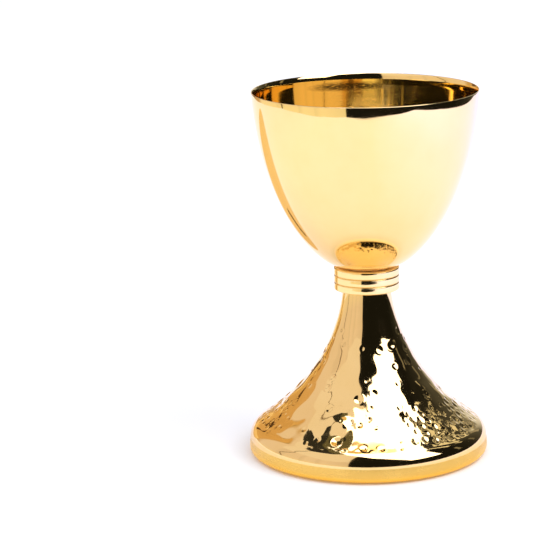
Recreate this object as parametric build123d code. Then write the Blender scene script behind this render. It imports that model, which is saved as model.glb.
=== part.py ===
"""Communion chalice: a spun cup on a hammered, trumpet-shaped foot, with a collar of three rings between them.

Millimetres, +Z up, origin on the axis in the plane that the foot stands on.
The cup carries a threaded rod that runs down through the collar and the neck, where a nut draws it tight.
Threads are drawn as plain cylinders, so that the rod turns in its nut with running clearance.
"""

import os
from math import asin, atan, cos, degrees, radians, sin, tan

from build123d import *

# Whole object
HEIGHT = 175.8
FOOT_WALL = 1.0
CUP_WALL = 0.9

# Foot: a turned-under rim, a slightly barrelled skirt, a tight shoulder and a concave flank up to the neck
FLANGE_R = 51.5
RIM_BEND_R = 2.4
SKIRT_R = 57.6
BARREL_R = 40.0
SKIRT_LEAN = 8.0
SHOULDER_R = 8.3
SHOULDER_LEAN = 56.0
FLANK_A = 116.5
FLANK_B = 95.3
NECK_TOP = 79.8
NECK_EDGE_R = 0.8

# Stiffening ring lying on the turned-under rim
BASE_RING_WIDTH = 4.0
BASE_RING_HEIGHT = 3.0
BASE_RING_EDGE = 1.2
BASE_RING_GAP = 0.4

# Collar: three equal rings with rounded edges, bored for the rod, the top one for the boss
COLLAR_R = 15.8
COLLAR_RING = 3.6
COLLAR_EDGE_R = 0.5

# Cup: a flat seat, a rounded bottom and the side of a tall ellipse, open at the top
CUP_A = 54.3
CUP_B = 101.1
CUP_CENTRE = 188.1
CUP_BOTTOM_END_R = 21.5
LIP_EDGE_R = 0.4

# Boss under the cup, and the M8 rod screwed into it
BOSS_R = 7.0
BOSS_HEIGHT = 3.5
BOSS_EDGE = 0.5
ROD_R = 4.0
ROD_TOP = 90.2
ROD_END = 62.7
ROD_EDGE = 0.8
RUNNING_GAP = 0.08

# Washers and M8 nut inside the neck
WEB_HOLE_R = 4.2
WASHER_R = 10.0
WASHER_HEIGHT = 1.6
WASHER_EDGE = 0.3
SPRING_WASHER_R = 7.2
SPRING_WASHER_HEIGHT = 2.0
SPRING_WASHER_CUT = 1.2
SPRING_WASHER_SLANT = 25.0
NUT_FLATS = 13.0
NUT_HEIGHT = 6.5
NUT_BEARING_R = 6.1
NUT_CONE = 30.0

COLLAR_TOP = NECK_TOP + 3 * COLLAR_RING
WASHER_TOP = NECK_TOP - FOOT_WALL
SPRING_WASHER_TOP = WASHER_TOP - WASHER_HEIGHT
NUT_TOP = SPRING_WASHER_TOP - SPRING_WASHER_HEIGHT


def turned(section):
    """The solid swept about the axis by a section drawn in (radius, height)."""
    return revolve(Plane.XZ * section, Axis.Z)


def wall_section(line, wall):
    """The section of a wall between a line and the same line one wall deeper."""
    outside, inside = line(0), line(wall)
    ends = [Line(outside[0] @ 0, inside[0] @ 0), Line(outside[-1] @ 1, inside[-1] @ 1)]
    return make_face([*outside, *inside, *ends])


def ring(radius, bore, bottom, height):
    """A plain ring on the axis, standing on the level given."""
    return turned(Pos((radius + bore) / 2, bottom + height / 2) * Rectangle(radius - bore, height))


def side_edges(solid, radius):
    """The circles of the radius given, lowest first."""
    circles = solid.edges().filter_by(GeomType.CIRCLE)
    return circles.filter_by(lambda edge: abs(edge.radius - radius) < 0.01).sort_by(Axis.Z)


def foot_line(inset):
    """The foot's wall line at this depth: across the flange, up the skirt and flank, and in across the neck."""
    flange = Line((FLANGE_R, inset), (SKIRT_R - RIM_BEND_R, inset))
    bend = CenterArc((SKIRT_R - RIM_BEND_R, RIM_BEND_R), RIM_BEND_R - inset, -90, 90)
    skirt = CenterArc((SKIRT_R - BARREL_R, RIM_BEND_R), BARREL_R - inset, 0, SKIRT_LEAN)
    inward = Vector(-cos(radians(SKIRT_LEAN)), -sin(radians(SKIRT_LEAN)))
    shoulder = CenterArc(
        (skirt @ 1) + (SHOULDER_R - inset) * inward,
        SHOULDER_R - inset,
        SKIRT_LEAN,
        SHOULDER_LEAN - SKIRT_LEAN,
    )

    # The flank's ellipse is centred where it leaves the shoulder without a corner
    a, b = FLANK_A + inset, FLANK_B + inset
    start = atan(tan(radians(SHOULDER_LEAN)) * b / a)
    centre = (shoulder @ 1) + Vector(a * cos(start), b * sin(start))
    end = asin((centre.Y - NECK_TOP + inset) / b)
    flank = EllipticalCenterArc(centre, a, b, 180 + degrees(start), arc_size=degrees(end - start))
    web = Line(flank @ 1, (WEB_HOLE_R, NECK_TOP - inset))
    return [flange, bend, skirt, shoulder, flank, web]


def foot_shell():
    """Spun shell, one wall thick from the turned-under flange to the web across the neck."""
    section = wall_section(foot_line, FOOT_WALL)
    top_corners = section.vertices().group_by(Axis.Y)[-1].sort_by(Axis.X)
    return turned(fillet(top_corners[-1], NECK_EDGE_R))


def base_ring():
    """Bevelled ring in the corner of the rim, a solder gap clear of the skirt."""
    outer = SKIRT_R - FOOT_WALL - BASE_RING_GAP
    body = ring(outer, outer - BASE_RING_WIDTH, FOOT_WALL, BASE_RING_HEIGHT)
    return chamfer([*side_edges(body, outer), *side_edges(body, outer - BASE_RING_WIDTH)], BASE_RING_EDGE)


def collar_ring(index):
    """One ring of the collar, counted from the neck up."""
    bore = BOSS_R + RUNNING_GAP if index == 2 else ROD_R + RUNNING_GAP
    body = ring(COLLAR_R, bore, NECK_TOP + index * COLLAR_RING, COLLAR_RING)
    return fillet(side_edges(body, COLLAR_R), COLLAR_EDGE_R)


def cup_line(inset):
    """The cup's wall line at this depth: out across the seat, round the bottom and up to the lip."""
    start = asin(CUP_BOTTOM_END_R / CUP_A)
    slope = atan(tan(start) * CUP_B / CUP_A)
    bottom_r = (CUP_CENTRE - CUP_B * cos(start) - COLLAR_TOP) / (1 - cos(slope))
    seat_r = CUP_BOTTOM_END_R - bottom_r * sin(slope)
    seat = Line((0, COLLAR_TOP + inset), (seat_r, COLLAR_TOP + inset))
    bottom = CenterArc((seat_r, COLLAR_TOP + bottom_r), bottom_r - inset, -90, degrees(slope))

    # The side's ellipse is centred where it leaves the bottom without a corner
    a, b = CUP_A - inset, CUP_B - inset
    start = atan(tan(slope) * a / b)
    centre = (bottom @ 1) + Vector(-a * sin(start), b * cos(start))
    end = asin((centre.Y - HEIGHT) / b)
    side = EllipticalCenterArc(centre, a, b, degrees(start) - 90, arc_size=90 - degrees(start + end))
    return [seat, bottom, side]


def bowl():
    """Spun cup, one wall thick, with a rounded lip."""
    section = wall_section(cup_line, CUP_WALL)
    return turned(fillet(section.vertices().group_by(Axis.Y)[-1], LIP_EDGE_R))


def bowl_boss():
    """Round boss soldered under the cup, blind-bored for the rod."""
    body = Pos(0, 0, COLLAR_TOP - BOSS_HEIGHT / 2) * Cylinder(BOSS_R, BOSS_HEIGHT)
    body = chamfer(side_edges(body, BOSS_R)[0], BOSS_EDGE)
    return body - Pos(0, 0, ROD_TOP - HEIGHT / 2) * Cylinder(ROD_R, HEIGHT)


def threaded_rod():
    """The rod, at its thread's outside diameter."""
    length = ROD_TOP - ROD_END
    body = Pos(0, 0, ROD_END + length / 2) * Cylinder(ROD_R, length)
    return chamfer(side_edges(body, ROD_R)[0], ROD_EDGE)


def clamp_washer():
    """Wide flat washer that spreads the nut's pull over the web."""
    bore = ROD_R + RUNNING_GAP
    body = ring(WASHER_R, bore, WASHER_TOP - WASHER_HEIGHT, WASHER_HEIGHT)
    return chamfer(side_edges(body, WASHER_R), WASHER_EDGE)


def spring_washer():
    """Split washer, pressed flat, with its slanting cut."""
    bottom = SPRING_WASHER_TOP - SPRING_WASHER_HEIGHT
    body = ring(SPRING_WASHER_R, ROD_R + RUNNING_GAP, bottom, SPRING_WASHER_HEIGHT)
    cut = Rot(SPRING_WASHER_SLANT, 0, 0) * Box(
        2 * SPRING_WASHER_R, SPRING_WASHER_CUT, 3 * SPRING_WASHER_HEIGHT
    )
    return body - Pos(SPRING_WASHER_R, 0, bottom + SPRING_WASHER_HEIGHT / 2) * cut


def hex_nut():
    """Hexagon nut, coned at both faces."""
    middle = NUT_TOP - NUT_HEIGHT / 2
    hexagon = extrude(RegularPolygon(NUT_FLATS / 2, 6, major_radius=False), NUT_HEIGHT / 2, both=True)
    reach = NUT_BEARING_R + NUT_HEIGHT / 2 / tan(radians(NUT_CONE))
    cone = make_face(
        Polyline(
            (0, NUT_HEIGHT / 2), (NUT_BEARING_R, NUT_HEIGHT / 2), (reach, 0),
            (NUT_BEARING_R, -NUT_HEIGHT / 2), (0, -NUT_HEIGHT / 2), close=True,
        )
    )
    bore = Cylinder(ROD_R + RUNNING_GAP, 2 * NUT_HEIGHT)
    return Pos(0, 0, middle) * (hexagon & turned(cone)) - Pos(0, 0, middle) * bore


PIECES = {
    "foot_shell": foot_shell(),
    "base_ring": base_ring(),
    "clamp_washer": clamp_washer(),
    "spring_washer": spring_washer(),
    "hex_nut": hex_nut(),
    "collar_ring_bottom": collar_ring(0),
    "collar_ring_middle": collar_ring(1),
    "collar_ring_top": collar_ring(2),
    "bowl": bowl(),
    "bowl_boss": bowl_boss(),
    "threaded_rod": threaded_rod(),
}

os.makedirs("parts", exist_ok=True)
for name, solid in PIECES.items():
    export_step(solid, f"parts/{name}.step")
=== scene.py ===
"""Communion chalice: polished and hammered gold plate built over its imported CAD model.

Lengths are millimetres in the shape code, and metres in Blender, the camera and the studio. Angles round the
axis are in degrees, measured from the front (-Y) towards +X.
"""

import math

import bpy
import numpy as np
from mathutils import Matrix, Vector

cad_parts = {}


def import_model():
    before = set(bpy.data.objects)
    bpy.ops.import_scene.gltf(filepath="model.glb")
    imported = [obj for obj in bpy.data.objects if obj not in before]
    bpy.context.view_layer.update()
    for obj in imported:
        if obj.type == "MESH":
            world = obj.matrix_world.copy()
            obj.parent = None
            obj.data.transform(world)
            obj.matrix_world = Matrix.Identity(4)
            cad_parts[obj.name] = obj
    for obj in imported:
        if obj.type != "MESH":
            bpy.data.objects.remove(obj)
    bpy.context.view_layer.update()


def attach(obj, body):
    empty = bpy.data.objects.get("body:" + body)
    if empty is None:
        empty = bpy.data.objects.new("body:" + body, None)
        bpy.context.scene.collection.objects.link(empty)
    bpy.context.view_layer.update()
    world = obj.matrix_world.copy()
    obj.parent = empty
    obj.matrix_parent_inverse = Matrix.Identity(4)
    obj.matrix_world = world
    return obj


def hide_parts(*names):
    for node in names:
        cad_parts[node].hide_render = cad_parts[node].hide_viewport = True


MM = 0.001

# Camera
CAMERA_AT = (0.0, -1.06682, 0.34003)
CAMERA_PITCH, CAMERA_YAW, CAMERA_ROLL = 13.14, -2.576, -1.135
CAMERA_LENS, CAMERA_SENSOR = 154.29, 36.0
CAMERA_CLIP = (0.05, 50.0)
BOUNCES = 16  # the polished pieces reflect each other many times over

# Metal colours, linear
GOLD = (1.0, 0.755, 0.32)
GOLD_DEEP = (0.98, 0.715, 0.28)
GOLD_FOOT = (0.96, 0.70, 0.28)
GOLD_FOOT_DEEP = (0.92, 0.65, 0.235)
GOLD_INSIDE = (1.0, 0.73, 0.25)
GOLD_SATIN = (0.85, 0.58, 0.14)
GOLD_SATIN_DEEP = (0.80, 0.52, 0.11)
BRASS = (0.80, 0.56, 0.24)
BRASS_DULL = (0.50, 0.33, 0.15)
ZINC = (0.62, 0.63, 0.66)
ZINC_DULL = (0.40, 0.40, 0.42)
SEAT, SEAT_DEEP = (1.0, 0.76, 0.30), (1.0, 0.70, 0.25)
DISC_GOLD, DISC_GOLD_DEEP = (0.85, 0.61, 0.25), (0.80, 0.56, 0.22)
# Colour that the brushed patch inside the cup is darkened towards: painted shade
PAINTED_SHADE_TONE = (0.05, 0.03, 0.01)

# Noises in the metal: scale, detail and roughness, over millimetres multiplied by the stretch
RING_SCALE, RING_NOISE = 2.6, (4.0, 0.62)
CLOUD_NOISE = (0.055, 3.0, 0.6)
SMEAR_NOISE, SMEAR_STRETCH = (1.0, 3.0, 0.6), (0.10, 0.10, 0.9)
HAIR_NOISE, HAIR_STRETCH = (1.1, 2.0, 0.7), (0.35, 0.28, 5.5)
STRAY_NOISE, STRAY_STRETCH = (1.0, 2.0, 0.7), (4.2, 0.35, 0.5)
BRUSHED_NOISE, BRUSHED_STRETCH = (1.0, 4.0, 0.7), (0.45, 0.45, 2.6)

# The same noises cut to a range: from low and high, to low and high
HAIR_CUT = (0.62, 0.72, 0.0, 1.0)
STRAY_CUT = (0.68, 0.75, 0.0, 0.8)
RING_CUT = (0.4, 0.7, 0.0, 1.0)
DEEP_CUT = (0.38, 0.68, 0.0, 0.55)
BRUSHED_CUT = (0.34, 0.50, 0.0, 1.0)
POLISH_CUT = (0.35, 0.65)
SCRATCH_HEIGHT = -0.6  # against the ring marks' 1

# Brushed patch high on the inside of the cup, with its colour darkened: painted shade
CUP_BRUSHED_SHADE = ((-8.0, 51.0, 169.7), (24.0, 14.0, 2.6))  # centre and half sizes
BRUSHED_SHADE_FADE = (0.45, 1.05, 1.0, 0.0)  # in half sizes
BRUSHED_SHADE_ROUGH, PAINTED_SHADE_SHARE = 0.12, 0.85

# Foot
CAD_FOOT_R = 57.6
FOOT_WALL = 1.0
FLANGE_R = 51.5
RIM_R = 55.18
RIM_BEND_R = 2.4
BARREL_R = 40.0
BARREL_AT = (17.58, 2.4)
SKIRT_LEAN = 8.0
SATIN_TOP = 6.5  # height where the skirt's satin ends
SHOULDER_R = 8.3
SHOULDER_LEAN = 56.0
FLANK_A, FLANK_B = 116.5, 95.3
NECK_TOP = 79.8
NECK_EDGE_R = 0.8
NECK_FACE_INSET = 1.2
WEB_HOLE_R, WEB_HOLE_EDGE = 4.2, 0.2
FOOT_COLUMNS, FOOT_INSIDE_COLUMNS = 600, 120
FLANK_ROWS, FLANK_INSIDE_ROWS = 142, 34

# Hammer marks: those on the front are placed from the photograph, as angle, height and diameter
HAMMER_SEED = 1711
FRONT_MARKS = (
    (-7.8, 54.4, 2.6), (-8.2, 33.4, 4.6), (5.8, 35.7, 3.5), (-1.1, 40.8, 2.3), (34.4, 45.8, 3.5),
    (37.9, 54.7, 4.2), (31.0, 38.7, 2.7), (24.7, 29.3, 2.7), (2.3, 29.8, 2.7), (37.5, 28.0, 3.5),
    (-30.5, 28.5, 3.8), (-39.0, 40.9, 3.1), (-40.2, 36.6, 3.5), (-18.0, 24.4, 2.3), (-5.3, 23.5, 3.5),
    (4.9, 22.6, 3.1), (-28.6, 17.0, 3.1), (-34.7, 15.2, 2.7), (-30.9, 13.6, 3.8), (-22.3, 12.7, 4.0),
    (-12.5, 13.5, 3.8), (-5.3, 13.2, 4.2), (2.4, 12.6, 3.5), (9.7, 13.0, 3.5), (16.9, 14.8, 3.8),
    (6.9, 15.0, 3.5), (-2.6, 15.1, 3.5), (-18.1, 17.2, 4.6), (32.5, 16.7, 3.5), (33.4, 12.7, 3.8),
    (42.8, 12.6, 4.2), (53.1, 13.9, 3.8), (48.8, 18.0, 3.8), (23.6, 12.1, 3.5), (62.7, 14.0, 3.5),
    (45.3, 24.4, 3.8), (32.0, 24.2, 3.8), (-79.8, 22.4, 2.3), (-66.7, 21.9, 2.3), (-79.2, 15.1, 2.3),
    (-73.9, 25.5, 3.1), (30.0, 19.7, 3.1), (38.6, 15.7, 3.8), (20.7, 14.3, 3.1), (43.2, 11.5, 3.5),
    (-49.0, 61.2, 3.1), (-40.2, 55.9, 3.1),
)
WIDE_DISH = (-17.5, 17.5, 15.0, 0.30)  # angle, height, diameter, depth
FRONT_ZONE = (-60, 18)  # angles where nearly all the marks are the placed ones
MARK_DEPTH = 0.058  # share of the diameter
MARK_DEPTH_SPREAD = (0.7, 1.25)
MARK_DIAMETERS = (2.2, 4.6)
MARK_TRIES = 9000
MARK_LOWEST, MARK_SPAN, MARK_GATHER = 11.2, 50.0, 2.3  # heights, gathered towards the lowest
MARK_CROWD_AT = 62  # angle of the most crowded side; the side opposite is as crowded
LOW_ZONE_TOP, LOW_GAP, LOW_KEPT, LOW_CROWD_KEPT = 27, 3.5, 0.10, 0.90
HIGH_GAP, HIGH_KEPT = 6.0, 0.035
FRONT_KEPT = 0.03
SHOULDER_ZONE_TOP, SHOULDER_KEPT = 15.5, 0.5
RIM_SHARE, RIM_AT, RIM_WIDTH = 0.32, 1.12, 0.22  # a mark's raised rim: share of its depth, then in its radii

# Broad swells under the marks, and where the hammering fades out
SWELLS = 760
SWELL_LOWEST, SWELL_SPAN, SWELL_GATHER = 9.0, 56.0, 1.25
SWELL_SIZES, SWELL_SIZE, SWELL_REACH = (2.1, 4.6), 3.6, 3
SWELL_HEIGHTS = ((12, 26, 34, 60), (0.23, 0.20, 0.10, 0.07))  # levels, and heights there at SWELL_SIZE
HAMMER_FADE = ((13.7, 15.0, 58, 69), (0.0, 1.0, 1.0, 0.0))  # levels, and share of the hammering there

# Collar
COLLAR_R = 15.8
COLLAR_RING = 3.6
COLLAR_EDGE_R = 0.6
COLLAR_BORE_EDGE = 0.15
COLLAR_LEANS = ((1.2, 2.9, 0.50), (1.2, 2.9, 0.50), (0.4, 2.9, 0.92))  # degrees low and high, share to high
COLLAR_LEAN_BLEND = 0.2
COLLAR_COLUMNS = 240
COLLAR_FACE_POINTS, COLLAR_EDGE_POINTS, COLLAR_SIDE_POINTS = 8, 7, 15
COLLAR_SATIN = range(33, 41)  # spans of a ring's line at the end of its top edge and on its top face
COLLAR_TOP = NECK_TOP + 3 * COLLAR_RING
RUNNING_GAP = 0.08

# Cup
HEIGHT = 175.8
CUP_WALL = 0.9
CUP_A, CUP_B = 54.3, 101.1
CUP_CENTRE = 188.1
CUP_BOTTOM_END_R = 21.5
CUP_SEAT_R = 15.6
CUP_COLUMNS = 288
CUP_ROWS, CUP_INSIDE_ROWS = 110, 90
LIP_FROM = 171.0
LIP_LEAN = 0.8
LIP_EDGE, LIP_EDGE_TURN = 0.22, 150
LIP_STEPS, LIP_EDGE_POINTS, LIP_DRESSED_POINTS = 12, 8, 17
LIP_INSIDE_SLOPE = 0.055
LIP_DRESSED_FROM, LIP_DRESSED_CURVE = 0.35, 2.2

# Thread, right-handed
PITCH = 1.25
THREAD_DEPTH = 0.68
THREAD_STEEPNESS, THREAD_CREST = 1.5, 0.19
THREAD_COLUMNS, THREAD_STEPS = 72, 10  # points round the rod, and rings in a pitch

# Fastening inside the neck
ROUND_COLUMNS = 144
BOSS_R, BOSS_HEIGHT = 7.0, 3.5
BOSS_EDGE_R, BOSS_BORE_BEVEL, BOSS_TOP_BEVEL = 0.5, 0.25, (0.2, 0.25)
BOSS_GROOVE = ((1.2, 0.0), (1.45, 0.22), (1.85, 0.22), (2.1, 0.0))  # height above its foot, and depth
ROD_R, ROD_TOP, ROD_END, ROD_EDGE = 4.0, 90.2, 62.7, 0.8
ROD_TOP_BEVEL, ROD_SEAT_BEVEL = 0.3, 0.1
ROD_PLAIN, ROD_RUNOUT = 2.6, 1.2  # length without thread at the top, and the length it fades over
WASHER_R, WASHER_HEIGHT, WASHER_EDGE = 10.0, 1.6, 0.3
SPRING_WASHER_R, SPRING_WASHER_HEIGHT, SPRING_WASHER_EDGE = 7.2, 2.0, 0.18
SPRING_WASHER_GAP, SPRING_WASHER_SLANT, SPRING_WASHER_SECTIONS = 1.24, 25, 97
NUT_FLATS, NUT_HEIGHT, NUT_BEARING_R, NUT_CONE = 13.0, 6.5, 6.1, 30.0
NUT_CORNER_CUT, NUT_SIDE_ROWS = 0.12, 23
NUT_THREAD_LEAD, NUT_THREAD_CUT, NUT_THREAD_CLEARANCE = 0.7, 0.15, 0.10
WASHER_TOP = NECK_TOP - FOOT_WALL
SPRING_WASHER_TOP = WASHER_TOP - WASHER_HEIGHT
NUT_TOP = SPRING_WASHER_TOP - SPRING_WASHER_HEIGHT

# Base ring
BASE_RING_COLUMNS = 240
BASE_RING_GAP, BASE_RING_WIDTH, BASE_RING_HEIGHT, BASE_RING_EDGE = 0.4, 4.0, 3.0, 1.2
BASE_RING_GROOVE = ((0.3, 0.0), (0.5, 0.12), (0.7, 0.0))  # distance in from the bevel, and depth

# Studio wall, seen only in the metal: each entry of WALL is an angle, the tones there at WALL_LEVELS and a
# shade that multiplies them
WALL_R, WALL_EYE = 2.5, 0.05
WALL_LEVELS = (-35, -10, 5, 25, 45, 58, 68)
WALL_STEP = 6
WHITE = (1.05, 1.05, 1.10)
PALE = ((0.88, 0.90, 0.98),) * 3 + (WHITE, (0.34, 0.30, 0.20), (0.22, 0.20, 0.14), (0.15, 0.14, 0.10))
CREAM_HIGH = (0.92, 0.84, 0.92)
CREAM = ((1.00, 0.90, 0.72),) * 2 + ((0.86, 0.74, 0.78),) * 3 + (CREAM_HIGH, (0.97, 0.92, 1.0))
AMBER = ((0.62, 0.41, 0.22),) * 4 + ((0.66, 0.46, 0.28), (0.80, 0.62, 0.50), (0.92, 0.84, 0.80))
DUSK = ((0.10, 0.08, 0.05), (0.06, 0.05, 0.03), (0.06, 0.05, 0.03))
RUST = ((0.62, 0.41, 0.22),) * 4 + DUSK
BROWN = ((0.17, 0.10, 0.055),) * 4 + DUSK
BLACK = (0.010,) * 3
DARK = (BLACK,) * 7
DIM = ((0.025,) * 3,) * 4 + ((0.03,) * 3,) * 3
MID = ((0.10,) * 3,) * 4 + ((0.08,) * 3, (0.06,) * 3, (0.06,) * 3)
WALL = (
    (-180, PALE, 1.0), (-176, PALE, 1.0), (-174, RUST, 1.0), (-158, RUST, 1.0), (-156, BROWN, 1.0),
    (-146, BROWN, 1.0), (-144, RUST, 1.0), (-139, RUST, 1.0), (-134, AMBER, 1.0), (-126, CREAM, 1.0),
    (-100, CREAM, 1.0), (-99, CREAM, 0.93), (-88, CREAM, 0.93), (-87, CREAM, 1.0), (-70, CREAM, 1.0),
    (-69, CREAM, 0.90), (-63, CREAM, 1.04), (-52, CREAM, 1.0), (-51, CREAM, 0.92), (-44, CREAM, 1.03),
    (-30, CREAM, 0.96), (-19.0, CREAM, 0.90), (-18.6, DARK, 1.0), (100, DARK, 1.0), (122, DIM, 1.0),
    (146, MID, 1.0), (162, PALE, 1.0), (180, PALE, 1.0),
)

# Dark joint between two cream panels: angles and elevations on the wall, then directions overhead
SEAM = ((-91, -30), (-91, 3), (-94, 8), (-94, 12), (-90, 19), (-87, 24), (-84, 34))
SEAM_ABOVE = ((-1.55, -0.17), (-1.36, -0.06), (-1.14, -0.04), (-0.90, -0.03), (-0.79, 0.01), (-0.64, 0.06))
SEAM_R = WALL_R - 0.05
SEAM_HALF, SEAM_ABOVE_HALF, SEAM_TONE = 0.8, 0.018, (0.16, 0.10, 0.055)

# Narrow lights at the right: angle, lowest and highest elevation, half width and brightness
SLOTS = (
    (100, 13, 27, 2.0, 0.25), (107, 40, 58, 2.6, 1.1), (119, 30, 38, 2.2, 0.6), (126, 36, 56, 3.0, 0.9),
    (127, 11, 24, 1.5, 0.2), (142, 28, 46, 2.6, 0.9), (145, 10, 26, 1.8, 0.4),
)
SLOTS_R, SLOT_TINT = WALL_R - 0.1, (1.0, 0.95, 0.9)

# Cards overhead: outlines given as directions from the chalice, and their levels
SOFTBOX = (
    (-0.30, 0.42), (-0.24, 0.05), (-0.24, -0.05), (-0.25, -0.235), (-0.11, -0.43), (0.07, -0.70),
    (0.66, -1.09), (1.70, -1.75), (2.33, -0.50), (1.39, -0.32), (0.945, -0.17), (0.736, -0.07),
    (0.645, 0.10), (0.545, 0.245), (0.33, 0.52),
)
HATCH = ((-0.37, -0.19), (-0.37, 0.43), (-0.62, 0.46), (-0.66, 0.02), (-0.42, -0.20))
HATCH_EDGE = ((-0.24, -0.15), (-0.24, 0.42), (-0.37, 0.43), (-0.37, -0.19))
CEILING = ((-1.5, -1.8), (-0.62, -1.8), (-0.29, -0.756), (-0.12, -0.42), (0.0, 0.42), (-1.5, 0.42))
SOFTBOX_H, SEAM_DROP, CEILING_RISE = 1.15, 0.01, 0.05
SOFTBOX_TONE = (3.2, 3.2, 4.2)
HATCH_TONE, HATCH_EDGE_TONE = (0.03,) * 3, (0.13, 0.12, 0.075)

# Gold disc in the place of the plate, with a dark shade down it
DISC_LINE = ((0, 0), (0.03, 0), (0.070, 0), (0.072, -0.0008))  # radius and height, from its middle
DISC_AT, DISC_TURN = (-0.126, 0.079, 0.0705), (-82, 0, -17)
SHADE = ((0.0235, 0.004), (0.0295, 0.046))  # two corners, on the disc
SHADE_BEHIND, SHADE_TONE = -0.002, (0.10, 0.055, 0.028)

# Table that the metal sees: its outline, its painted shade by distance from the axis, and painted light to
# the right and left
TABLE = (
    (0.0, -0.52), (0.21, -0.54), (0.37, -0.51), (0.56, -0.50), (0.60, -0.42), (0.69, -0.14), (0.71, 0.12),
    (0.70, 0.46), (0.70, 2.4), (-0.60, 2.4), (-0.60, 0.83), (-0.75, 0.52), (-0.79, 0.27), (-0.79, 0.0),
    (-0.68, -0.15), (-0.59, -0.26), (-0.45, -0.35), (-0.35, -0.43), (-0.18, -0.52),
)
# Painted shade: the table darker and warmer close to the foot, for its contact shadow and the gold's light
TABLE_PAINTED_SHADE = (
    (0.057, (0.66, 0.50, 0.29)), (0.064, (0.86, 0.77, 0.72)), (0.078, (0.92, 0.84, 0.86)),
    (0.150, (0.93, 0.87, 0.93)),
)
# Painted light: a bluish tint on the table to the right, and a near-white one to the left
TABLE_RIGHT_LIGHT, TABLE_RIGHT_LIGHT_TONE = (0.03, 0.45, 0.0, 1.0), (0.94, 0.90, 1.35)
TABLE_LEFT_LIGHT, TABLE_LEFT_LIGHT_TONE = (-0.08, -0.35, 0.0, 1.0), (0.94, 0.93, 0.98)
# Painted glow: warm light given off by the table close to the foot, though no lamp is there
TABLE_PAINTED_GLOW, TABLE_PAINTED_GLOW_TONE = (0.0575, 0.066, 0.52, 0.0), (1.0, 0.86, 0.48)
TABLE_Z = -0.0003

# Floor, room, sky and lamp
FLOOR_HALF, FLOOR_Z = 8, -0.0008
FLOOR_TONE, FLOOR_SHADE, FLOOR_NOISE = (0.93, 0.93, 0.90), 0.985, 3.0
ROOM_LINE = ((0, -6), (6, -5), (7, 0), (6, 7), (0, 8))  # radius and height
SKY_TONE, SKY_STRENGTH = (1.0, 1.02, 1.16), 1.05
LAMP_AT, LAMP_AIM = (0.9, -0.6, 1.4), (-0.9, 0.6, -1.33)
LAMP_SIZE, LAMP_POWER = 1.2, 12.0


# ---------------------------------------------------------------- lines and skins

def arc(centre, radius, start, end, count):
    """Points along a circle or, with a pair of radii, an ellipse; angles in degrees."""
    a, b = radius if isinstance(radius, tuple) else (radius, radius)
    angles = np.radians(np.linspace(start, end, count))
    return np.column_stack((centre[0] + a * np.cos(angles), centre[1] + b * np.sin(angles)))


def run(start, end, count):
    return np.linspace(start, end, count)


def joined(*parts):
    """One line of points, without the doubles where its parts meet."""
    line = np.vstack(parts)
    keep = np.append(True, np.linalg.norm(np.diff(line, axis=0), axis=1) > 1e-4)
    return line[keep]


def turned(line, columns):
    """A ring of points for each (radius, height) of the line; a point on the axis stays one point."""
    angles = np.linspace(0, 2 * np.pi, columns, endpoint=False)
    rings = []
    for r, z in line:
        if r < 1e-6:
            rings.append(np.array([[0.0, 0.0, z]]))
        else:
            rings.append(
                np.column_stack((r * np.sin(angles), -r * np.cos(angles), np.full(columns, z)))
            )
    return rings


def skin(rings, closed):
    """Vertices and faces over rings whose counts are equal, multiples, or one for a pole."""
    starts = np.cumsum([0] + [len(ring) for ring in rings])
    pairs = [(k, k + 1) for k in range(len(rings) - 1)]
    if closed:
        pairs.append((len(rings) - 1, 0))
    faces, spans = [], []
    for low, high in pairs:
        n, m = len(rings[low]), len(rings[high])
        for k in range(max(n, m) if 1 in (n, m) else min(n, m)):
            if n == 1:
                face = [starts[low], starts[high] + (k + 1) % m, starts[high] + k]
            elif m == 1:
                face = [starts[low] + k, starts[low] + (k + 1) % n, starts[high]]
            else:
                parts = min(n, m)
                a = [starts[low] + j % n for j in range(k * n // parts, (k + 1) * n // parts + 1)]
                b = [starts[high] + j % m for j in range(k * m // parts, (k + 1) * m // parts + 1)]
                face = a + b[::-1]
            faces.append([int(v) for v in face])
            spans.append(low)
    return np.vstack(rings), faces, spans


def solid_piece(name, rings, finishes, crease, closed=True, finish_of=None):
    """A closed piece over rings of millimetre points. finish_of gives a span's finish number."""
    points, faces, spans = skin(rings, closed)
    mesh = bpy.data.meshes.new(name)
    mesh.from_pydata((points * MM).tolist(), [], faces)
    if finish_of:
        mesh.polygons.foreach_set("material_index", [finish_of(span) for span in spans])
    mesh.validate()
    mesh.update()
    mesh.calc_loop_triangles()
    corners = np.zeros(3 * len(mesh.loop_triangles), np.int32)
    mesh.loop_triangles.foreach_get("vertices", corners)
    a, b, c = np.moveaxis(points[corners.reshape(-1, 3)], 1, 0)
    if np.einsum("ij,ij", a, np.cross(b, c)) < 0:
        mesh.flip_normals()
    mesh.shade_smooth()
    mesh.set_sharp_from_angle(angle=math.radians(crease))
    piece = bpy.data.objects.new(name, mesh)
    bpy.context.scene.collection.objects.link(piece)
    for finish in finishes:
        mesh.materials.append(finish)
    return piece


def stand_for(piece, body, node):
    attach(piece, body)
    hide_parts(node)


# ---------------------------------------------------------------- finishes

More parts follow.
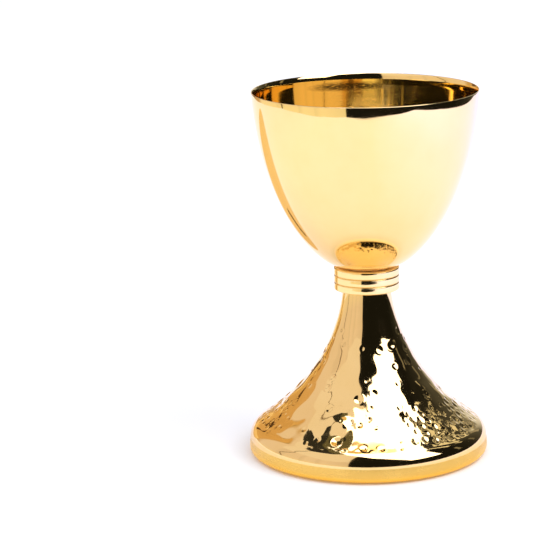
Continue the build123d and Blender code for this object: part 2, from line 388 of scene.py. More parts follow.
class Finish:
    """A material's node tree, written from left to right."""

    def __init__(self, name):
        self.material = bpy.data.materials.new(name)
        self.material.use_nodes = True
        self.tree = self.material.node_tree
        self.tree.nodes.clear()

    def node(self, kind, inputs=None, **settings):
        made = self.tree.nodes.new(kind)
        for key, value in settings.items():
            setattr(made, key, value)
        for key, value in (inputs or {}).items():
            if isinstance(value, bpy.types.NodeSocket):
                self.tree.links.new(value, made.inputs[key])
            else:
                made.inputs[key].default_value = value
        return made

    def math(self, operation, a, b):
        return self.node("ShaderNodeMath", {0: a, 1: b}, operation=operation).outputs[0]

    def stretched(self, place, scale):
        return self.node("ShaderNodeVectorMath", {0: place, 1: scale}, operation="MULTIPLY").outputs[0]

    def length(self, place):
        return self.node("ShaderNodeVectorMath", {0: place}, operation="LENGTH").outputs["Value"]

    def noise(self, place, scale, detail=2.0, rough=0.5):
        made = self.node(
            "ShaderNodeTexNoise", {"Vector": place, "Scale": scale, "Detail": detail, "Roughness": rough}
        )
        return made.outputs["Fac"]

    def ranged(self, value, low, high, to_low, to_high):
        made = self.node(
            "ShaderNodeMapRange",
            {"Value": value, "From Min": low, "From Max": high, "To Min": to_low, "To Max": to_high},
        )
        return made.outputs["Result"]

    def mixed(self, share, a, b):
        made = self.node("ShaderNodeMix", {"Factor": share, "A": a, "B": b}, data_type="RGBA")
        return made.outputs["Result"]


def rgba(colour):
    return (*colour, 1.0)


def brushed_and_shaded(f, place, rough, tone, centre, half_sizes):
    """Roughness with a brushed patch added, and the colour darkened over the same patch: painted shade."""
    patch = f.node("ShaderNodeVectorMath", {0: place, 1: centre}, operation="SUBTRACT").outputs[0]
    away = f.length(f.stretched(patch, tuple(1 / half for half in half_sizes)))
    brushed = f.noise(f.stretched(place, BRUSHED_STRETCH), *BRUSHED_NOISE)
    mark = f.math("MULTIPLY", f.ranged(away, *BRUSHED_SHADE_FADE), f.ranged(brushed, *BRUSHED_CUT))
    rough = f.math("ADD", rough, f.math("MULTIPLY", mark, BRUSHED_SHADE_ROUGH))
    tone = f.mixed(f.math("MULTIPLY", mark, PAINTED_SHADE_SHARE), tone, rgba(PAINTED_SHADE_TONE))
    return rough, tone


def metal(name, colour, deep, smooth, dull, streak, scratch, relief, grain=1.0, metallic=1.0, brushed_shade=None):
    """Turned or spun metal: rings of tool marks, cloudy polish, fine scratches and deeper colour in patches.

    smooth and dull bound the roughness, streak is the share of the ring marks in it, scratch the share of
    the fine scratches, and relief the depth of both in millimetres. grain scales the ring marks.
    brushed_shade is the centre and half sizes of a brushed patch whose colour is darkened as painted shade,
    in millimetres.
    """
    f = Finish(name)
    place = f.node("ShaderNodeTexCoord").outputs["Object"]
    place = f.stretched(place, (1 / MM,) * 3)
    across = f.length(f.stretched(place, (1, 1, 0)))
    height = f.node("ShaderNodeSeparateXYZ", {"Vector": place}).outputs["Z"]
    wound = f.node("ShaderNodeCombineXYZ", {"X": across, "Z": height}).outputs["Vector"]

    rings = f.noise(wound, RING_SCALE * grain, *RING_NOISE)
    cloud = f.noise(place, *CLOUD_NOISE)
    smear = f.noise(f.stretched(place, SMEAR_STRETCH), *SMEAR_NOISE)
    hair = f.noise(f.stretched(place, HAIR_STRETCH), *HAIR_NOISE)
    stray = f.noise(f.stretched(place, STRAY_STRETCH), *STRAY_NOISE)
    lines = f.math("MAXIMUM", f.ranged(hair, *HAIR_CUT), f.ranged(stray, *STRAY_CUT))

    rough = f.ranged(f.math("MULTIPLY", f.math("ADD", cloud, smear), 0.5), *POLISH_CUT, smooth, dull)
    rough = f.math("ADD", rough, f.math("MULTIPLY", f.ranged(rings, *RING_CUT), streak))
    rough = f.math("ADD", rough, f.math("MULTIPLY", lines, scratch))
    tone = f.mixed(f.ranged(cloud, *DEEP_CUT), rgba(colour), rgba(deep))
    worn = f.math("ADD", rings, f.math("MULTIPLY", lines, SCRATCH_HEIGHT))
    # Brushed patch, with painted shade in its colour
    if brushed_shade:
        rough, tone = brushed_and_shaded(f, place, rough, tone, *brushed_shade)
    bump = f.node("ShaderNodeBump", {"Strength": 1.0, "Distance": relief * MM, "Height": worn})
    shader = f.node(
        "ShaderNodeBsdfPrincipled",
        {"Base Color": tone, "Metallic": metallic, "Roughness": rough, "Normal": bump.outputs["Normal"]},
    )
    f.node("ShaderNodeOutputMaterial", {"Surface": shader.outputs["BSDF"]})
    return f.material


def gold_mirror():
    return metal(
        "gold_mirror", GOLD, GOLD_DEEP, smooth=0.025, dull=0.060, streak=0.012, scratch=0.03, relief=0.0006
    )


def gold_cup_inside():
    return metal(
        "gold_cup_inside", GOLD_INSIDE, GOLD_DEEP, smooth=0.025, dull=0.060, streak=0.03, scratch=0.04,
        relief=0.0012, brushed_shade=CUP_BRUSHED_SHADE,
    )


def gold_hammered():
    return metal(
        "gold_hammered", GOLD_FOOT, GOLD_FOOT_DEEP, smooth=0.035, dull=0.085, streak=0.0, scratch=0.05,
        relief=0.0006,
    )


def gold_satin():
    return metal(
        "gold_satin", GOLD_SATIN, GOLD_SATIN_DEEP, smooth=0.22, dull=0.32, streak=0.05, scratch=0.05,
        relief=0.0025,
    )


def gold_seat():
    """Less metallic than gold, so that the narrow gap between cup and collar isn't black."""
    return metal(
        "gold_seat", SEAT, SEAT_DEEP, smooth=0.52, dull=0.62, streak=0.05, scratch=0.05, relief=0.002,
        metallic=0.35,
    )


def gold_foot_inside():
    return metal(
        "gold_foot_inside", GOLD_DEEP, BRASS_DULL, smooth=0.22, dull=0.42, streak=0.12, scratch=0.1,
        relief=0.006, grain=0.6,
    )


def brass_turned():
    return metal(
        "brass_turned", BRASS, BRASS_DULL, smooth=0.20, dull=0.36, streak=0.15, scratch=0.10, relief=0.008,
        grain=1.6,
    )


def steel_zinc():
    return metal(
        "steel_zinc", ZINC, ZINC_DULL, smooth=0.24, dull=0.42, streak=0.10, scratch=0.12, relief=0.006,
        grain=1.2,
    )


def gold_disc():
    return metal(
        "gold_panel", DISC_GOLD, DISC_GOLD_DEEP, smooth=0.08, dull=0.14, streak=0.0, scratch=0.0,
        relief=0.0004,
    )


# ---------------------------------------------------------------- foot

def foot_line(inset):
    """At this depth in the wall: the centres of the shoulder's and the flank's curves, the flank's radii and
    the angle where it starts."""
    lean, steep = math.radians(SKIRT_LEAN), math.radians(SHOULDER_LEAN)
    reach = BARREL_R - SHOULDER_R
    shoulder_at = (BARREL_AT[0] + reach * math.cos(lean), BARREL_AT[1] + reach * math.sin(lean))
    a, b = FLANK_A + inset, FLANK_B + inset
    start = math.atan(math.tan(steep) * b / a)
    meets = (
        shoulder_at[0] + (SHOULDER_R - inset) * math.cos(steep),
        shoulder_at[1] + (SHOULDER_R - inset) * math.sin(steep),
    )
    flank_at = (meets[0] + a * math.cos(start), meets[1] + b * math.sin(start))
    return shoulder_at, flank_at, (a, b), math.degrees(start)


def foot_wall_parts(inset, flank_rows, fine):
    """The wall line at this depth: flange, rim bend, skirt, shoulder, flank. fine is 1 for the outside."""
    shoulder_at, flank_at, radii, start = foot_line(inset)
    bend_at = (RIM_R, RIM_BEND_R)
    top = NECK_TOP - inset - (0 if inset else NECK_EDGE_R)
    end = math.degrees(math.asin((flank_at[1] - top) / radii[1]))
    return (
        run((FLANGE_R, inset), (RIM_R, inset), 3),
        arc(bend_at, RIM_BEND_R - inset, -90, 0, 3 + 4 * fine),
        arc(BARREL_AT, BARREL_R - inset, 0, SKIRT_LEAN, 3 + 3 * fine),
        arc(shoulder_at, SHOULDER_R - inset, SKIRT_LEAN, SHOULDER_LEAN, 5 + 13 * fine),
        arc(flank_at, radii, 180 + start, 180 + end, flank_rows),
    )


def mark_point(angle, z, radius_at):
    a, r = math.radians(angle), radius_at(z)
    return np.array([r * math.sin(a), -r * math.cos(a), z])


def mark_chance(angle, z):
    """Share of the marks tried here that are kept: most near the shoulder, few in the front's own zone."""
    crowd = 0.5 + 0.5 * math.cos(math.radians(2 * (angle - MARK_CROWD_AT)))
    chance = (LOW_KEPT + LOW_CROWD_KEPT * crowd**2) if z < LOW_ZONE_TOP else HIGH_KEPT
    if FRONT_ZONE[0] < angle < FRONT_ZONE[1]:
        return chance * FRONT_KEPT
    return max(chance, SHOULDER_KEPT) if z < SHOULDER_ZONE_TOP else chance


def spread_marks(rng, radius_at):
    """Centre, diameter and depth of each mark: the placed ones, others kept apart, then the wide dish."""
    marks = [(mark_point(a, z, radius_at), wide, MARK_DEPTH * wide) for a, z, wide in FRONT_MARKS]
    for _ in range(MARK_TRIES):
        angle = rng.uniform(-180, 180)
        z = MARK_LOWEST + MARK_SPAN * rng.random() ** MARK_GATHER
        wide = rng.uniform(*MARK_DIAMETERS)
        if rng.random() > mark_chance(angle, z):
            continue
        here = mark_point(angle, z, radius_at)
        gap = LOW_GAP if z < LOW_ZONE_TOP else HIGH_GAP
        if min(np.linalg.norm(here - other) for other, _, _ in marks) < gap:
            continue
        marks.append((here, wide, MARK_DEPTH * wide * rng.uniform(*MARK_DEPTH_SPREAD)))
    angle, z, wide, depth = WIDE_DISH
    return marks + [(mark_point(angle, z, radius_at), wide, depth)]


def spread_swells(rng, radius_at):
    """Centre, size and height of each broad swell."""
    swells = []
    for _ in range(SWELLS):
        z = SWELL_LOWEST + SWELL_SPAN * rng.random() ** SWELL_GATHER
        size = rng.uniform(*SWELL_SIZES)
        height = rng.normal(0, 1) * np.interp(z, *SWELL_HEIGHTS) * size / SWELL_SIZE
        swells.append((mark_point(rng.uniform(-180, 180), z, radius_at), size, height))
    return swells


def hammer_field(points, marks, swells):
    """How far each point of the flank stands in or out, in millimetres."""
    field = np.zeros(points.shape[:2])
    heights = points[:, 0, 2]

    def nearby(centre, reach):
        rows = np.flatnonzero(np.abs(heights - centre[2]) < reach)
        if not len(rows):
            return None, None
        part = slice(rows[0], rows[-1] + 1)
        return part, np.linalg.norm(points[part] - centre, axis=2)

    for centre, size, height in swells:
        part, away = nearby(centre, SWELL_REACH * size)
        if part:
            field[part] += height * np.exp(-((away / size) ** 2))
    for centre, wide, depth in marks:
        part, away = nearby(centre, wide)
        if part:
            u = away / (wide / 2)
            dish = -depth * np.clip(1 - u**2, 0, None) ** 2
            rim = RIM_SHARE * depth * np.exp(-(((u - RIM_AT) / RIM_WIDTH) ** 2))
            field[part] += dish + rim
    return field


def hammered_flank(flank):
    """Rings of the flank, each point moved along the normal by the hammering."""
    rng = np.random.default_rng(HAMMER_SEED)

    def radius_at(z):
        return float(np.interp(z, flank[:, 1], flank[:, 0]))

    marks = spread_marks(rng, radius_at)
    swells = spread_swells(rng, radius_at)
    side = np.array(turned(flank[1:], FOOT_COLUMNS))
    along = np.gradient(flank, axis=0)[1:]
    normal = np.column_stack((along[:, 1], -along[:, 0]))
    normal /= np.linalg.norm(normal, axis=1)[:, None]
    angles = np.linspace(0, 2 * np.pi, FOOT_COLUMNS, endpoint=False)
    fade = np.interp(flank[1:, 1], *HAMMER_FADE)
    push = hammer_field(side, marks, swells) * fade[:, None]
    out = np.stack(
        (
            normal[:, :1] * np.sin(angles)[None],
            -normal[:, :1] * np.cos(angles)[None],
            np.repeat(normal[:, 1:], FOOT_COLUMNS, axis=1),
        ),
        axis=2,
    )
    return list(side + push[..., None] * out)


def neck_line(flank):
    """From the flank over the rounded edge of the neck to the web's hole."""
    neck_r = flank[-1][0]
    neck_slope = math.degrees(math.atan2(*(flank[-1] - flank[-2])[::-1])) - 90
    round_at = (neck_r - NECK_EDGE_R, NECK_TOP - NECK_EDGE_R)
    return joined(
        arc(round_at, NECK_EDGE_R, neck_slope, 90, 6),
        run((neck_r - NECK_FACE_INSET, NECK_TOP), (WEB_HOLE_R + WEB_HOLE_EDGE, NECK_TOP), 3),
    )


def foot_shell(finishes):
    """The foot: satin skirt, polished shoulder and hammered flank outside, turned finish inside."""
    flange, bend, skirt, shoulder, flank = foot_wall_parts(0.0, FLANK_ROWS, 1)
    outside = joined(flange, bend, skirt, shoulder)
    rings = turned(outside, FOOT_COLUMNS) + hammered_flank(flank) + turned(neck_line(flank), FOOT_COLUMNS)
    first_polished = int(np.argmax(outside[:, 1] > SATIN_TOP))
    first_inside = len(rings)
    web_hole = [(WEB_HOLE_R, NECK_TOP - WEB_HOLE_EDGE), (WEB_HOLE_R, NECK_TOP - FOOT_WALL)]
    inside = joined(*foot_wall_parts(FOOT_WALL, FLANK_INSIDE_ROWS, 0))[::-1]
    rings += turned(joined(web_hole, inside), FOOT_INSIDE_COLUMNS)

    def finish_of(span):
        return 2 if span < first_polished else int(span >= first_inside)

    return solid_piece("foot", rings, finishes, finish_of=finish_of, crease=40)


# ---------------------------------------------------------------- cup and collar

def cup_wall(inset, rows):
    """Cup wall line at this depth, from the axis up to the level where the lip starts."""
    start = math.asin(CUP_BOTTOM_END_R / CUP_A)
    slope = math.atan(math.tan(start) * CUP_B / CUP_A)
    bottom_r = (CUP_CENTRE - CUP_B * math.cos(start) - COLLAR_TOP) / (1 - math.cos(slope))
    seat_r = CUP_BOTTOM_END_R - bottom_r * math.sin(slope)
    bottom_at = (seat_r, COLLAR_TOP + bottom_r)
    a, b = CUP_A - inset, CUP_B - inset
    start = math.atan(math.tan(slope) * a / b)
    meets = (
        bottom_at[0] + (bottom_r - inset) * math.sin(slope),
        bottom_at[1] - (bottom_r - inset) * math.cos(slope),
    )
    side_at = (meets[0] - a * math.sin(start), meets[1] + b * math.cos(start))
    end = -math.degrees(math.asin((side_at[1] - LIP_FROM) / b))
    return joined(
        run((0, COLLAR_TOP + inset), (seat_r, COLLAR_TOP + inset), 5),
        arc(bottom_at, bottom_r - inset, -90, -90 + math.degrees(slope), 20),
        arc(side_at, (a, b), math.degrees(start) - 90, end, rows),
    )


def lip(outer, inner):
    """From the outer wall round to the inner: the outside turns upright, the edge is thin and round, and the
    inside is dressed back to it."""
    start = math.atan2(*(outer[-1] - outer[-2]))
    rise = HEIGHT - LIP_EDGE - LIP_FROM
    steps = np.linspace(0, 1, LIP_STEPS + 1)
    lean = start + steps * (math.radians(LIP_LEAN) - start)
    shift = np.concatenate(([0], np.cumsum((np.tan(lean[1:]) + np.tan(lean[:-1])) / 2)))
    upright = np.column_stack((outer[-1][0] + shift * rise / LIP_STEPS, LIP_FROM + steps * rise))
    edge = arc(upright[-1] - (LIP_EDGE, 0), LIP_EDGE, 0, LIP_EDGE_TURN, LIP_EDGE_POINTS)
    share = np.linspace(0, 1, LIP_DRESSED_POINTS)[:, None]
    straight = inner[-1] + np.array((LIP_INSIDE_SLOPE, 1.0)) * share * (edge[-1][1] - LIP_FROM)
    bend = np.clip((share - LIP_DRESSED_FROM) / (1 - LIP_DRESSED_FROM), 0, 1) ** LIP_DRESSED_CURVE
    dressed = straight + (edge[-1] - straight[-1]) * bend
    return joined(upright, edge, dressed[::-1])


def cup(finishes):
    """The cup: polished outside, its own finish inside, and a satin seat where it stands on the collar."""
    outer, inner = cup_wall(0.0, CUP_ROWS), cup_wall(CUP_WALL, CUP_INSIDE_ROWS)
    line = joined(outer, lip(outer, inner), inner[::-1])
    first_inside = len(outer) + LIP_STEPS + LIP_EDGE_POINTS
    last_seat = int(np.searchsorted(outer[:, 0], CUP_SEAT_R))

    def finish_of(span):
        return 2 if span < last_seat else int(span >= first_inside)

    rings = turned(line, CUP_COLUMNS)
    return solid_piece("cup", rings, finishes, closed=False, finish_of=finish_of, crease=60)


def collar_ring(name, index, finishes):
    """One ring, polished, with a satin top face. Its side leans in a little towards the top."""
    bottom = NECK_TOP + index * COLLAR_RING
    top = bottom + COLLAR_RING
    bore = BOSS_R + RUNNING_GAP if index == 2 else ROD_R + RUNNING_GAP
    bore_bevel = bore + COLLAR_BORE_EDGE
    low, high, change = COLLAR_LEANS[index]
    levels = np.linspace(bottom + COLLAR_EDGE_R, top - COLLAR_EDGE_R, COLLAR_SIDE_POINTS)
    shares = np.linspace(0, 1, COLLAR_SIDE_POINTS)
    leans = np.interp(shares, (0, change - COLLAR_LEAN_BLEND, change, 1), (low, low, high, high))
    slopes = np.tan(np.radians((leans[1:] + leans[:-1]) / 2))
    inward = np.concatenate(([0], np.cumsum(slopes))) * (levels[1] - levels[0])
    side = np.column_stack((COLLAR_R - inward, levels))
    line = joined(
        run((bore_bevel, bottom), (COLLAR_R - COLLAR_EDGE_R, bottom), COLLAR_FACE_POINTS),
        arc(side[0] - (COLLAR_EDGE_R, 0), COLLAR_EDGE_R, -90, -low, COLLAR_EDGE_POINTS),
        side,
        arc(side[-1] - (COLLAR_EDGE_R, 0), COLLAR_EDGE_R, high, 90, COLLAR_EDGE_POINTS),
        run((side[-1][0] - COLLAR_EDGE_R, top), (bore_bevel, top), COLLAR_FACE_POINTS),
        run((bore, top - COLLAR_BORE_EDGE), (bore, bottom + COLLAR_BORE_EDGE), 4),
    )

    def finish_of(span):
        return int(span in COLLAR_SATIN)

    return solid_piece(name, turned(line, COLLAR_COLUMNS), finishes, finish_of=finish_of, crease=40)


# ---------------------------------------------------------------- fastening

def round_ring(radii, angles, z):
    """One ring of points at this height, counted from +X; radii is a number or one for each angle."""
    return np.column_stack((radii * np.cos(angles), radii * np.sin(angles), np.full(len(angles), z)))


def thread_depth(angle, z):
    """Share of the thread's depth at this angle and height: 0 at a crest, 1 at a root. Right-handed."""
    phase = (z / PITCH - angle / (2 * np.pi)) % 1.0
    return np.clip((1 - np.abs(2 * phase - 1)) * THREAD_STEEPNESS - THREAD_CREST, 0, 1)


def threaded_rod(finish):
    """Rod with its thread cut along its length, fading out below the boss."""
    angles = np.linspace(0, 2 * np.pi, THREAD_COLUMNS, endpoint=False)
    rings = [np.array([[0.0, 0.0, ROD_END]])]
    for r, level in (
        (ROD_R / 2, ROD_END), (ROD_R - ROD_EDGE, ROD_END), (ROD_R - ROD_EDGE / 2, ROD_END + ROD_EDGE / 2),
    ):
        rings.append(round_ring(r, angles, level))
    for z in np.arange(ROD_END + ROD_EDGE, ROD_TOP - ROD_TOP_BEVEL, PITCH / THREAD_STEPS):
        fade = np.clip((ROD_TOP - ROD_PLAIN - z) / ROD_RUNOUT, 0, 1)
        rings.append(round_ring(ROD_R - THREAD_DEPTH * fade * thread_depth(angles, z), angles, z))
    for r in (ROD_R - ROD_TOP_BEVEL, ROD_R / 2):
        rings.append(round_ring(r, angles, ROD_TOP))
    rings.append(np.array([[0.0, 0.0, ROD_TOP]]))
    return solid_piece("rod", rings, [finish], closed=False, crease=40)


def boss(finish):
    """Round boss with a rounded foot, a turned groove and a small bevel at the cup, bored for the rod."""
    bottom, top, bore = COLLAR_TOP - BOSS_HEIGHT, COLLAR_TOP, ROD_R
    top_r, top_edge = BOSS_R - BOSS_TOP_BEVEL[0], top - BOSS_TOP_BEVEL[1]
    line = joined(
        run((bore + BOSS_BORE_BEVEL, bottom), (BOSS_R - BOSS_EDGE_R, bottom), 6),
        arc((BOSS_R - BOSS_EDGE_R, bottom + BOSS_EDGE_R), BOSS_EDGE_R, -90, 0, 5),
        [(BOSS_R - depth, bottom + level) for level, depth in BOSS_GROOVE],
        [(BOSS_R, top_edge), (top_r, top)],
        run((top_r, top), (0, top), 6),
        run((0, ROD_TOP), (bore - ROD_SEAT_BEVEL, ROD_TOP), 4),
        run((bore, ROD_TOP - ROD_SEAT_BEVEL), (bore, bottom + BOSS_BORE_BEVEL), 5),
    )
    return solid_piece("boss", turned(line, ROUND_COLUMNS), [finish], crease=30)


def clamp_washer(finish):
    """Wide flat washer with rounded outer edges."""
    bore, outer, bevel = ROD_R + RUNNING_GAP, WASHER_R - WASHER_EDGE, WASHER_EDGE / 2
    bottom = WASHER_TOP - WASHER_HEIGHT
    top = bottom + WASHER_HEIGHT
    line = joined(
        run((bore + bevel, bottom), (outer, bottom), 6),
        arc((outer, bottom + WASHER_EDGE), WASHER_EDGE, -90, 0, 5),
        arc((outer, top - WASHER_EDGE), WASHER_EDGE, 0, 90, 5),
        run((outer, top), (bore + bevel, top), 6),
        run((bore, top - bevel), (bore, bottom + bevel), 3),
    )
    return solid_piece("clamp_washer", turned(line, ROUND_COLUMNS), [finish], crease=40)


def spring_washer(finish):
    """Square-section split washer, pressed flat, its ends cut on a slant at +X."""
    bevel, bore, half = SPRING_WASHER_EDGE, ROD_R + RUNNING_GAP, SPRING_WASHER_HEIGHT / 2
    middle = SPRING_WASHER_TOP - SPRING_WASHER_HEIGHT + half
    section = joined(
        arc((SPRING_WASHER_R - bevel, middle + half - bevel), bevel, 0, 90, 4),
        arc((bore + bevel, middle + half - bevel), bevel, 90, 180, 4),
        arc((bore + bevel, middle - half + bevel), bevel, 180, 270, 4),
        arc((SPRING_WASHER_R - bevel, middle - half + bevel), bevel, 270, 360, 4),
    )
    slant = math.radians(SPRING_WASHER_SLANT)
    half_gap = SPRING_WASHER_GAP / 2 / math.cos(slant)
    rings = []
    for share in np.linspace(0, 1, SPRING_WASHER_SECTIONS):
        ring = []
        for r, z in section:
            lean = -(z - middle) * math.tan(slant)
            first = math.asin((half_gap + lean) / r)
            last = 2 * math.pi - math.asin((half_gap - lean) / r)
            angle = first + share * (last - first)
            ring.append((r * math.cos(angle), r * math.sin(angle), z))
        rings.append(np.array(ring))
    ends = [rings[0].mean(axis=0, keepdims=True), rings[-1].mean(axis=0, keepdims=True)]
    return solid_piece("spring_washer", [ends[0], *rings, ends[1]], [finish], closed=False, crease=35)


def hex_nut(finish):
    """Hexagon nut coned at both faces, with a right-hand thread of the rod's pitch."""
    bottom = NUT_TOP - NUT_HEIGHT
    angles = np.linspace(0, 2 * np.pi, ROUND_COLUMNS, endpoint=False)
    flat_r = NUT_FLATS / 2 / np.cos((angles + np.pi / 6) % (np.pi / 3) - np.pi / 6)
    flat_r = np.minimum(flat_r, NUT_FLATS / 2 / math.cos(math.pi / 6) - NUT_CORNER_CUT)
    rise = math.tan(math.radians(NUT_CONE))
    rings = []
    for share in np.linspace(0, 1, NUT_SIDE_ROWS):
        z = share * NUT_HEIGHT
        reach = NUT_BEARING_R + min(z, NUT_HEIGHT - z) / rise
        rings.append(round_ring(np.minimum(flat_r, reach), angles, bottom + z))
    bore = ROD_R + RUNNING_GAP
    for z in np.arange(NUT_TOP, bottom - 0.01, -PITCH / THREAD_STEPS):
        fade = max(min(1.0, (NUT_TOP - z) / NUT_THREAD_LEAD, (z - bottom) / NUT_THREAD_LEAD), 0)
        tooth = THREAD_DEPTH * np.clip(thread_depth(angles, z) - NUT_THREAD_CUT, 0, 1) * fade
        rings.append(round_ring(bore - np.clip(tooth - NUT_THREAD_CLEARANCE, 0, None), angles, z))
    return solid_piece("hex_nut", rings, [finish], crease=30)


def base_ring(finish):
    """Bevelled ring lying on the flange, inside the skirt."""
    outer = CAD_FOOT_R - FOOT_WALL - BASE_RING_GAP
    inner, edge = outer - BASE_RING_WIDTH, BASE_RING_EDGE
    bottom, top = FOOT_WALL, FOOT_WALL + BASE_RING_HEIGHT
    line = joined(
        run((inner + edge, bottom), (outer - edge, bottom), 5),
        run((outer - edge, bottom), (outer, bottom + edge), 3),
        run((outer, bottom + edge), (outer, top - edge), 3),
        run((outer, top - edge), (outer - edge, top), 3),
        [(outer - edge - inward, top - depth) for inward, depth in BASE_RING_GROOVE],
        run((inner + edge, top), (inner, top - edge), 3),
        run((inner, top - edge), (inner, bottom + edge), 3),
    )
    return solid_piece("base_ring", turned(line, BASE_RING_COLUMNS), [finish], crease=30)


# ---------------------------------------------------------------- studio

def glow(name):
    """Even light in the colour stored at each corner."""
    f = Finish(name)
    colour = f.node("ShaderNodeAttribute", attribute_name="glow").outputs["Color"]
    light = f.node("ShaderNodeEmission", {"Color": colour, "Strength": 1.0})
    f.node("ShaderNodeOutputMaterial", {"Surface": light.outputs["Emission"]})
    return f.material


def seen_by(obj, camera=False, diffuse=False, glossy=False, shadow=False):
    obj.visible_camera, obj.visible_diffuse = camera, diffuse
    obj.visible_glossy, obj.visible_shadow = glossy, shadow
    obj.visible_transmission = obj.visible_volume_scatter = False


def stage_mesh(name, points, faces, finish, colours=None):
    mesh = bpy.data.meshes.new(name)
    mesh.from_pydata([tuple(p) for p in points], [], faces)
    if colours is not None:
        layer = mesh.color_attributes.new("glow", "FLOAT_COLOR", "POINT")
        layer.data.foreach_set("color", np.array([rgba(c) for c in colours], np.float32).ravel())
    mesh.materials.append(finish)
    obj = bpy.data.objects.new(name, mesh)
    bpy.context.scene.collection.objects.link(obj)
    return obj


def flat(name, outline, z, finish, colour=None):
    points = [(x, y, z) for x, y in outline]
    return stage_mesh(name, points, [list(range(len(points)))], finish, colour and [colour] * len(points))


def on_wall(radius, angle, level):
    """Point on a round wall, at this angle and at this elevation from the eye level."""
    a = math.radians(angle)
    return (radius * math.sin(a), -radius * math.cos(a), WALL_EYE + radius * math.tan(math.radians(level)))


def studio_wall(finish):
    """Round wall of cream, dark and white panels."""
    points, colours, faces = [], [], []
    rows = len(WALL_LEVELS)
    for (angle, tones, shade), (next_angle, next_tones, next_shade) in zip(WALL, WALL[1:]):
        steps = max(1, int((next_angle - angle) / WALL_STEP))
        for step in range(steps):
            base = len(points)
            for share in (step / steps, (step + 1) / steps):
                for level, near, far in zip(WALL_LEVELS, tones, next_tones):
                    points.append(on_wall(WALL_R, angle + share * (next_angle - angle), level))
                    pairs = zip(near, far)
                    colours.append(
                        tuple((1 - share) * (shade * u) + share * (next_shade * v) for u, v in pairs)
                    )
            for k in range(base, base + rows - 1):
                faces.append([k, k + 1, k + rows + 1, k + rows])
    seen_by(stage_mesh("studio_wall", points, faces, finish, colours), glossy=True)


def seam(finish):
    """Strip along the joint on the wall."""
    points = []
    for angle, level in SEAM:
        for side in (-SEAM_HALF, SEAM_HALF):
            points.append(on_wall(SEAM_R, angle + side / math.cos(math.radians(level)), level))
    faces = [[k, k + 1, k + 3, k + 2] for k in range(0, len(points) - 2, 2)]
    seen_by(stage_mesh("seam", points, faces, finish, [SEAM_TONE] * len(points)), glossy=True)


def slots(finish):
    """Narrow lights, which the hammering breaks into ripples."""
    points, faces, colours = [], [], []
    for angle, low, high, half, tone in SLOTS:
        for side, level in ((-half, low), (half, low), (half, high), (-half, high)):
            points.append(on_wall(SLOTS_R, angle + side, level))
            colours.append(tuple(tone * tint for tint in SLOT_TINT))
        faces.append(list(range(len(points) - 4, len(points))))
    seen_by(stage_mesh("slots", points, faces, finish, colours), glossy=True)


def overhead_cards(finish):
    """Level cards, each outline spread out from the chalice to the card's level."""
    sides = [[(x, y + side) for x, y in SEAM_ABOVE] for side in (-SEAM_ABOVE_HALF, SEAM_ABOVE_HALF)]
    for name, outline, level, tone in (
        ("softbox", SOFTBOX, SOFTBOX_H, SOFTBOX_TONE),
        ("seam_above", sides[0] + sides[1][::-1], SOFTBOX_H - SEAM_DROP, SEAM_TONE),
        ("hatch", HATCH, SOFTBOX_H, HATCH_TONE),
        ("hatch_edge", HATCH_EDGE, SOFTBOX_H, HATCH_EDGE_TONE),
        ("ceiling", CEILING, SOFTBOX_H + CEILING_RISE, CREAM_HIGH),
    ):
        h = level - WALL_EYE
        seen_by(flat(name, [(x * h, y * h) for x, y in outline], level, finish, tone), glossy=True)


def round_panel(finish, lit):
    """Gold disc leaning on the left, with a dark shade down it."""
    points, faces, _ = skin(turned(DISC_LINE, 96), closed=False)
    panel = stage_mesh("round_panel", points, faces, finish)
    low, high = SHADE
    corners = ((low[0], low[1]), (high[0], low[1]), (high[0], high[1]), (low[0], high[1]))
    for part in (panel, flat("panel_shade", corners, SHADE_BEHIND, lit, SHADE_TONE)):
        part.location = DISC_AT
        part.rotation_euler = [math.radians(turn) for turn in DISC_TURN]
        seen_by(part, glossy=True)


def dark_room(finish):
    """Everything between the panels."""
    points, faces, _ = skin(turned(ROOM_LINE, 24), closed=False)
    seen_by(stage_mesh("dark_room", points, faces, finish, [BLACK] * len(points)), glossy=True)


def floor_finish():
    """White, very slightly uneven."""
    f = Finish("floor_white")
    place = f.node("ShaderNodeTexCoord").outputs["Object"]
    shade = tuple(FLOOR_SHADE * c for c in FLOOR_TONE)
    tone = f.mixed(f.noise(place, FLOOR_NOISE), rgba(FLOOR_TONE), rgba(shade))
    shader = f.node("ShaderNodeBsdfDiffuse", {"Color": tone})
    f.node("ShaderNodeOutputMaterial", {"Surface": shader.outputs["BSDF"]})
    return f.material


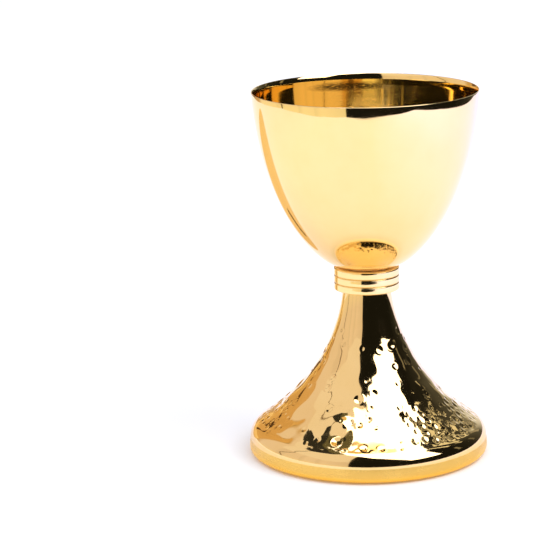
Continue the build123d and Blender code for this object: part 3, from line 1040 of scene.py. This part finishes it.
def table_shade_and_light_finish():
    """White, with painted shade and a painted warm glow near the foot, where only the gold lights it, and
    painted light to the sides.
    """
    f = Finish("table_painted_shade_and_light")
    place = f.node("ShaderNodeTexCoord").outputs["Object"]
    away = f.length(f.stretched(place, (1, 1, 0)))
    # Painted shade by distance from the axis
    farthest = TABLE_PAINTED_SHADE[-1][0]
    ramp = f.node("ShaderNodeValToRGB", {"Fac": f.math("MULTIPLY", away, 1 / farthest)})
    stops = ramp.color_ramp.elements
    while len(stops) < len(TABLE_PAINTED_SHADE):
        stops.new(0.5)
    for stop, (radius, colour) in zip(stops, TABLE_PAINTED_SHADE):
        stop.position, stop.color = radius / farthest, rgba(colour)
    # Painted light tints to the right and left
    side = f.node("ShaderNodeSeparateXYZ", {"Vector": place}).outputs["X"]
    tone = f.mixed(f.ranged(side, *TABLE_RIGHT_LIGHT), ramp.outputs["Color"], rgba(TABLE_RIGHT_LIGHT_TONE))
    tone = f.mixed(f.ranged(side, *TABLE_LEFT_LIGHT), tone, rgba(TABLE_LEFT_LIGHT_TONE))
    white = f.node("ShaderNodeBsdfDiffuse", {"Color": tone}).outputs["BSDF"]
    # Painted glow close to the foot
    close = f.ranged(away, *TABLE_PAINTED_GLOW)
    painted_glow = f.node("ShaderNodeEmission", {"Color": rgba(TABLE_PAINTED_GLOW_TONE), "Strength": close})
    shader = f.node("ShaderNodeAddShader", {0: white, 1: painted_glow.outputs["Emission"]})
    f.node("ShaderNodeOutputMaterial", {"Surface": shader.outputs["Shader"]})
    return f.material


def sky():
    world = bpy.data.worlds.new("studio")
    world.use_nodes = True
    background = world.node_tree.nodes["Background"]
    background.inputs["Color"].default_value = rgba(SKY_TONE)
    background.inputs["Strength"].default_value = SKY_STRENGTH
    bpy.context.scene.world = world


def soft_lamp():
    lamp = bpy.data.lights.new("soft_lamp", "AREA")
    lamp.size, lamp.energy = LAMP_SIZE, LAMP_POWER
    light = bpy.data.objects.new("soft_lamp", lamp)
    light.location = LAMP_AT
    light.rotation_mode = "QUATERNION"
    light.rotation_quaternion = Vector(LAMP_AIM).to_track_quat("-Z", "Y")
    light.visible_glossy = False
    bpy.context.scene.collection.objects.link(light)


def studio():
    """The floor that the camera sees, and the table, panels and room that only the metal sees."""
    s = FLOOR_HALF
    floor = flat("floor", ((-s, -s), (s, -s), (s, s), (-s, s)), FLOOR_Z, floor_finish())
    seen_by(floor, camera=True, diffuse=True, shadow=True)
    seen_by(flat("table_in_the_metal", TABLE, TABLE_Z, table_shade_and_light_finish()), glossy=True)
    lit = glow("panel_light")
    studio_wall(lit)
    seam(lit)
    overhead_cards(lit)
    slots(lit)
    round_panel(gold_disc(), lit)
    dark_room(lit)
    sky()
    soft_lamp()


def camera():
    pitch, yaw, roll = (math.radians(a) for a in (CAMERA_PITCH, CAMERA_YAW, CAMERA_ROLL))
    ahead = Vector(
        (math.sin(yaw) * math.cos(pitch), math.cos(yaw) * math.cos(pitch), -math.sin(pitch))
    )
    right = Vector((math.cos(yaw), -math.sin(yaw), 0))
    up = right.cross(ahead)
    tilted_right = math.cos(roll) * right + math.sin(roll) * up
    tilted_up = -math.sin(roll) * right + math.cos(roll) * up
    data = bpy.data.cameras.new("camera")
    data.lens, data.sensor_width = CAMERA_LENS, CAMERA_SENSOR
    data.clip_start, data.clip_end = CAMERA_CLIP
    made = bpy.data.objects.new("camera", data)
    turn = Matrix((tilted_right, tilted_up, -ahead)).transposed()
    made.matrix_world = Matrix.Translation(CAMERA_AT) @ turn.to_4x4()
    bpy.context.scene.collection.objects.link(made)
    bpy.context.scene.camera = made


# ---------------------------------------------------------------- the scene

def chalice():
    """The eleven pieces, each on its body, in the place of its CAD node."""
    mirror, cup_inside, hammered, satin = gold_mirror(), gold_cup_inside(), gold_hammered(), gold_satin()
    seat, foot_inside, brass, steel = gold_seat(), gold_foot_inside(), brass_turned(), steel_zinc()
    stand_for(foot_shell([hammered, foot_inside, satin]), "foot", "foot_shell")
    stand_for(cup([mirror, cup_inside, seat]), "cup", "bowl")
    for index, level in enumerate(("bottom", "middle", "top")):
        ring = collar_ring(f"collar_{level}", index, [mirror, seat])
        stand_for(ring, "collar", f"collar_ring_{level}")
    stand_for(boss(brass), "cup", "bowl_boss")
    stand_for(threaded_rod(brass), "cup", "threaded_rod")
    stand_for(clamp_washer(steel), "foot", "clamp_washer")
    stand_for(spring_washer(steel), "foot", "spring_washer")
    stand_for(hex_nut(steel), "foot", "hex_nut")
    stand_for(base_ring(brass), "foot", "base_ring")


def main():
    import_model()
    scene = bpy.context.scene
    scene.view_settings.view_transform = "Standard"
    scene.cycles.max_bounces = scene.cycles.glossy_bounces = BOUNCES
    camera()
    chalice()
    studio()


main()
